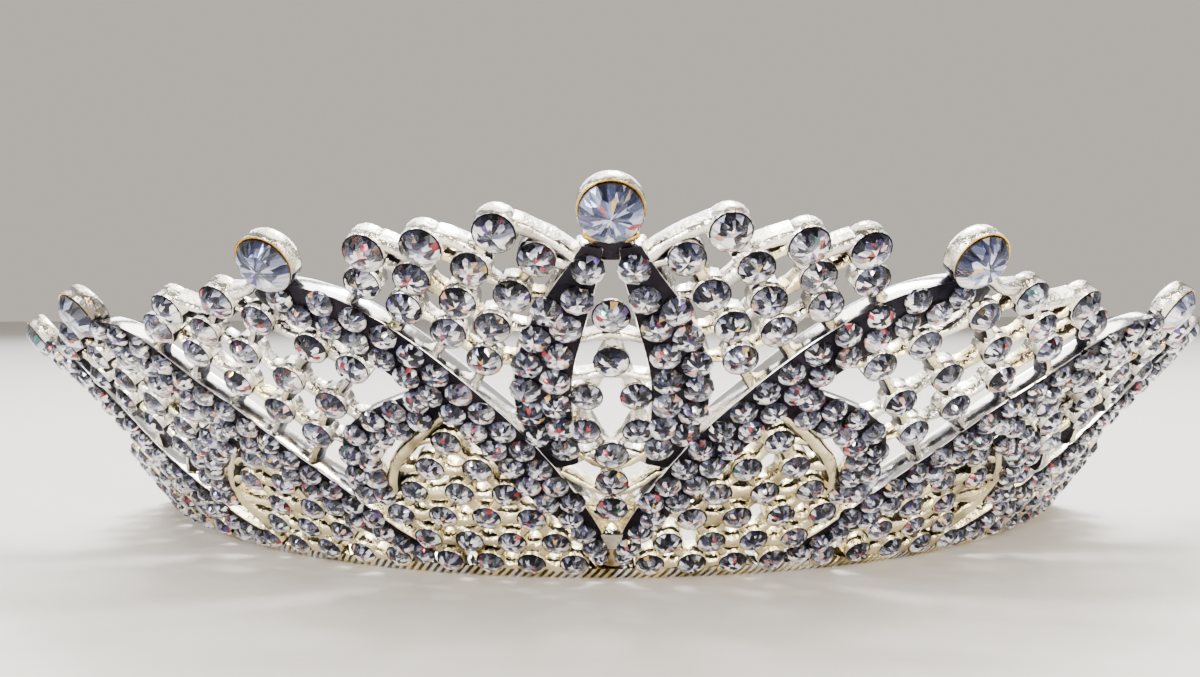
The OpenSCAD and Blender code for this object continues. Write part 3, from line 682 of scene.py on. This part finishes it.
# Templates of the stones: number of sides
# and of the cups: radius of the stone, rim, how much wider the back is, back, front, number of sides
small_gem = gem(10)
net_gem = gem(12)
large_gem = gem(24, table=0.6, crown=0.36)
net_cup = cup(NET_R, 0.1, 0.16, -2.1, -0.02, 16)
low_cup = cup(LOW_R, 0.14, 0.3, -2.0, 0.02, 14, outer=LACQUERED)
column_cup = cup(NET_R, 0.1, -0.5, -1.4, -0.02, 16)
crest_cup = cup(CREST_R, 0.12, 0.3, -2.4, 0.0, 20, soft=0.6)
large_cup = cup(LARGE, 0.14, 0.16, -2.35, 0.0, 32, ring=BRASS, floor=-0.6, soft=0.7)
# the seats of the pave stones are painted shade all over, nearly black between the stones
pave_seat = cup(PAVE_R, 0.03, -0.5, -0.9, -0.04, 10, outer=PAINTED_SHADE, floor=-0.3)
TEMPLATES = [small_gem, net_gem, large_gem, net_cup, low_cup, crest_cup, large_cup, pave_seat, column_cup]

# The casting: arches, arms, hooks and strands, each on both halves
metal_parts = []
# the fronts of the arches, arms and hooks are painted shade and painted dark reflection, nearly black
for side in (-1, 1):
    metal_parts.append(band(mirrored(ARCH, side), ARM_FRONT, BACK, BRIGHT, face=PAINTED_SHADE, across=3, dome=0.1,
                            rough=0.04, **upper_side(side, ARCH_SLOPE)))
    for path, slope in [(path, ARM_SLOPE) for path in ARM] + [(path, HOOK_SLOPE) for path in HOOK]:
        metal_parts.append(band(mirrored(path, side), ARM_FRONT, BACK, POLISHED, face=PAINTED_SHADE, across=3,
                                dome=0.1, rough=0.03, **upper_side(side, slope)))
    for path in STRANDS:
        metal_parts.append(band(mirrored(path, side), STRAND_FRONT, STRAND_BACK, BRIGHT, edge=0.4, per=5,
                                dome=0.35, flare=STRAND_SLOPE, under_flare=STRAND_SLOPE, rough=0.13))
# the neck under the centre stone is painted shade, nearly black
metal_parts.append(band(NECK, RIB_FRONT, BACK, PAINTED_SHADE, edge=0.3))
metal_parts += [band(path, -0.2, -1.2, BRASS, edge=0.2, dome=0.3) for path in CLAWS]
metal_parts.append(band(PLATE, 0.1, BACK, BRIGHT, edge=0.2, dome=0.1))
metal_parts.append(band(STEM, RIB_FRONT, BACK, LACQUERED, edge=0.3, dome=0.15, rough=0.15))

# The base edge, rope-milled: the columns of a grid lean along it, and each groove ends in a notch of its foot
deselect()
bpy.ops.mesh.primitive_grid_add(x_subdivisions=int(HALF_LENGTH * 2 * len(RIDGE)), y_subdivisions=4, size=2.0)
edge = bpy.context.object
foot = [v.co.y < -0.9 for v in edge.data.vertices]
for v in edge.data.vertices:
    a, h = v.co.x * HALF_LENGTH, (v.co.y + 1) / 2 * EDGE_HEIGHT
    ridge = RIDGE[round(a * len(RIDGE)) % len(RIDGE)]
    leaning = RIDGE_LEAN * (h - EDGE_HEIGHT / 2) * min(1.0, (HALF_LENGTH - abs(a)) / UPRIGHT)
    v.co = (a + leaning, h + (TOOTH * (1 - ridge) if v.co.y < -0.9 else 0.0),
            EDGE_FRONT + RIDGE_HEIGHT * ridge * (1.0 - 0.5 * abs(v.co.y) ** 3))
modify(edge, "SOLIDIFY", thickness=EDGE_DEPTH, offset=-1.0)
for k, v in enumerate(edge.data.vertices):
    if foot[k % len(foot)]:
        v.co.y = max(v.co.y, 0.0) + EDGE_LIFT + v.co.z * math.tan(lean_at(v.co.x))
give_metals(edge.data)
# the outward faces of the grooves get painted shade
for f in edge.data.polygons:
    across = f.center.x - RIDGE_LEAN * (f.center.y - EDGE_HEIGHT / 2)
    shaded_groove = f.normal.z > 0.1 and (across % 1.0) < GROOVE
    worn = noise.noise(f.center * WORN_WAVES) > 0.1
    f.material_index = PAINTED_GROOVE_SHADE if shaded_groove else POLISHED if worn else LACQUERED
metal_parts.append(edge)

casting_flat = wrap(joined("casting", metal_parts))
ends = [(side * a, h) for side in (-1, 1) for a, h in TIP.values()] + [CENTRE]
large_cups = copies("large_cups", large_cup, [(a, h, 0, 0, 1) for a, h in ends])
crest_cups = copies("crest_cups", crest_cup,
                    [(side * a, h, 0, 0, 1) for side in (-1, 1) for a, h in CREST.values()])
hand_over(joined("casting", [casting_flat, large_cups, crest_cups]), ["frame"])

# The open work and the lower rows of each half, whose stones are fused to their cups
names = dict(NET, **CREST)
for side, word in HALVES:
    links = [link_between(w, names, side, LACQUERED if rng.random() < WARMED else BRIGHT) for w in LINKS]
    links = wrap(joined("links_" + word, links))
    cups = copies("cups_" + word, net_cup, [(side * a, h, 0, 0, 1) for a, h in NET.values()])
    stones = copies("stones_" + word, net_gem,
                    [(side * a, h, 0, turned(), NET_R) for a, h in NET.values()], CRYSTAL)
    hand_over(joined("open_work_" + word, [links, cups, stones]), ["net_stones_" + word])

    panels = [[(a0 + i * pitch, h) for a0, h, count, pitch in rows for i in range(count)] for rows in ROWS]
    places = [(side * a, h) for panel in panels for a, h in panel]
    cups = copies("cups", low_cup, [(a, h, 0, 0, 1) for a, h in places])
    stones = copies("stones", small_gem, [(a, h, 0, turned(), LOW_R) for a, h in places], CRYSTAL)
    webs = []
    for panel in panels:
        for i, p in enumerate(panel):
            for q in panel[i + 1:]:
                level = abs(p[1] - q[1]) < 1.0
                if math.dist(p, q) < NEAR and rng.random() < (JOINED_LEVEL if level else JOINED_OTHERS):
                    waist, sag = (0.75, rng.uniform(0.3, 0.9)) if level else (0.5, rng.uniform(0.0, 0.4))
                    webs.append(link_between("%f,%f %f,%f" % (p + q), {}, side, LACQUERED, (1.25, waist),
                                             WEB_FRONT, WEB_BACK, sag))
    webs += [link_between(w, {}, side, LACQUERED, (1.1, 0.5), RIB_FRONT, WEB_BACK) for w in ROW_RIBS]
    for path in CRESCENTS:
        webs.append(band(mirrored(path, side), -0.3, WEB_BACK, LACQUERED, edge=0.4, dome=0.35, rough=0.2))
    webs = wrap(joined("webs", webs))
    hand_over(joined("lower_rows_" + word, [webs, cups, stones]), ["low_stones_" + word])

# The middle column
links = [link_between(w, COLUMN, 1) for w in COLUMN_LINKS]
for paths, base in ((BROAD_RIBS, BRIGHT), (THIN_RIBS, LACQUERED)):
    links += [band(path, STRAND_FRONT, WEB_BACK, base, edge=0.35, dome=0.3, rough=0.16) for path in paths]
links = wrap(joined("links", links))
cups = copies("cups", column_cup, [(a, h, 0, 0, r / NET_R) for a, h, r in COLUMN.values()])
stones = copies("stones", net_gem, [(a, h, 0, turned(), r) for a, h, r in COLUMN.values()], CRYSTAL)
hand_over(joined("column", [links, cups, stones]), ["column_stones"])

# The single stones: centre, tips and crest
large_stones = [(CENTRE, "centre_stone", CRYSTAL_LARGE)]
large_stones += [((side * a, h), "tip_stone_%d_%s" % (k + 1, word), CRYSTAL_TIP)
                 for k, (a, h) in enumerate(TIP.values()) for side, word in HALVES]
for (a, h), node, crystal in large_stones:
    stone = copies(node + "_cut", large_gem, [(a, h - LARGE_LOW, LARGE_OUT, turned(), LARGE)], crystal)
    hand_over(stone, [node])
for k, (a, h) in enumerate(CREST.values()):
    for side, word in HALVES:
        node = "crest_stone_%d_%s" % (k + 1, word)
        stone = copies(node + "_cut", net_gem, [(side * a, h, CREST_OUT, turned(), CREST_R)], CRYSTAL)
        hand_over(stone, [node])

# The pave stones of the arms, hooks and arches
spots = [(a, h, PAVE_R) for row in PAVE_ROWS for a, h in spread(*row)]
spots += [(a, h, PAVE_R + LARGER) for a, h in ARCH_STONES]
for side, word in HALVES:
    seats = copies("seats", pave_seat, [(side * a, h, 0, 0, 1) for a, h, r in spots])
    places = [(side * a, h, PAVE_OUT + PAVE_UNEVEN * rng.random(), turned(), r) for a, h, r in spots]
    stones = copies("stones", small_gem, places, CRYSTAL)
    hand_over(joined("pave_" + word, [seats, stones]), ())

for t in TEMPLATES:
    bpy.data.objects.remove(t)

# The floor: white card, matt and almost even, so that it throws soft light up into the casting
deselect()
bpy.ops.mesh.primitive_plane_add(size=6.0, location=(0, 0, 0))
floor = bpy.context.object
floor.name = "floor"
card, tree = empty_material("matt_white_card")
where = add(tree, "ShaderNodeTexCoord")
fibre = add(tree, "ShaderNodeTexNoise", {"Scale": 300.0, "Detail": 3.0}, [("Vector", where, "Object")])
tone = stops(add(tree, "ShaderNodeValToRGB", (), [("Fac", fibre, "Fac")]),
             [(0.3, "#c6c3be"), (0.7, "#cac7c2")])
shader = add(tree, "ShaderNodeBsdfPrincipled", {"Roughness": 0.8}, [("Base Color", tone, "Color")])
add(tree, "ShaderNodeOutputMaterial", (), [("Surface", shader, "BSDF")])
floor.data.materials.append(card)

# The light
world = bpy.data.worlds.new("studio")
bpy.context.scene.world = world
world.use_nodes = True
world.node_tree.nodes["Background"].inputs["Color"].default_value = linear("#e8e1d6")
world.node_tree.nodes["Background"].inputs["Strength"].default_value = 0.75

MIDDLE_OF_TIARA = Vector((0.0, 0.0, 0.02))
# soft boxes, in metres and watts: name, place, width and height, power, colour
SOFT_BOXES = [
    ("overhead", (0.0, 0.02, 0.62), (0.8, 0.5), 9.5, "#fffaf2"),
    ("lamp_above", (0.05, 0.16, 0.50), (0.20, 0.12), 4.6, "#ffffff"),
    ("behind", (0.0, 0.75, 0.62), (1.5, 0.4), 18.0, "#f6f8ff"),
    ("front_left", (-0.42, -0.66, 0.12), (0.30, 0.12), 3.2, "#fffdf8"),
    ("front_right", (0.42, -0.66, 0.12), (0.30, 0.12), 3.2, "#fffdf8"),
    ("side_left", (-0.80, -0.12, 0.34), (0.45, 0.35), 2.1, "#f4f7ff"),
    ("side_right", (0.80, -0.12, 0.34), (0.45, 0.35), 2.1, "#f4f7ff"),
    ("front_warm", (0.28, -0.62, 0.34), (0.09, 0.09), 3.4, "#ffe6bc"),
    ("front_cool", (-0.36, -0.60, 0.22), (0.10, 0.10), 2.6, "#f2f5ff")]
for name, place, size, power, colour in SOFT_BOXES:
    light = bpy.data.lights.new(name, "AREA")
    light.shape = "RECTANGLE"
    light.size, light.size_y = size
    light.energy = power
    light.color = linear(colour)[:3]
    lamp = bpy.data.objects.new(name, light)
    bpy.context.scene.collection.objects.link(lamp)
    lamp.location = place
    lamp.rotation_euler = (MIDDLE_OF_TIARA - Vector(place)).to_track_quat("-Z", "Y").to_euler()

# The camera, as in the photo: its place in mm from the front of the base edge, its focal length in pixels
PHOTO_WIDTH, SENSOR = 1200.0, 36.0
YAW, PITCH, ROLL, FOCAL = math.radians(-0.557), math.radians(1.765), math.radians(-0.269), 948.12
EYE = Vector((-0.201, -110.0, 31.561))
camera = bpy.data.cameras.new("camera")
camera.sensor_width = SENSOR
camera.lens = FOCAL / PHOTO_WIDTH * SENSOR
camera.clip_start = 0.005
eye = bpy.data.objects.new("camera", camera)
bpy.context.scene.collection.objects.link(eye)
forward = Vector((math.sin(YAW) * math.cos(PITCH), math.cos(YAW) * math.cos(PITCH), -math.sin(PITCH)))
level_right = forward.cross(Vector((0, 0, 1))).normalized()
level_up = level_right.cross(forward)
right = level_right * math.cos(ROLL) + level_up * math.sin(ROLL)
up = level_up * math.cos(ROLL) - level_right * math.sin(ROLL)
spot = (EYE - MIDDLE_OF_BASE) / 1000.0
eye.matrix_world = Matrix(((right.x, up.x, -forward.x, spot.x), (right.y, up.y, -forward.y, spot.y),
                           (right.z, up.z, -forward.z, spot.z), (0, 0, 0, 1)))
bpy.context.scene.camera = eye
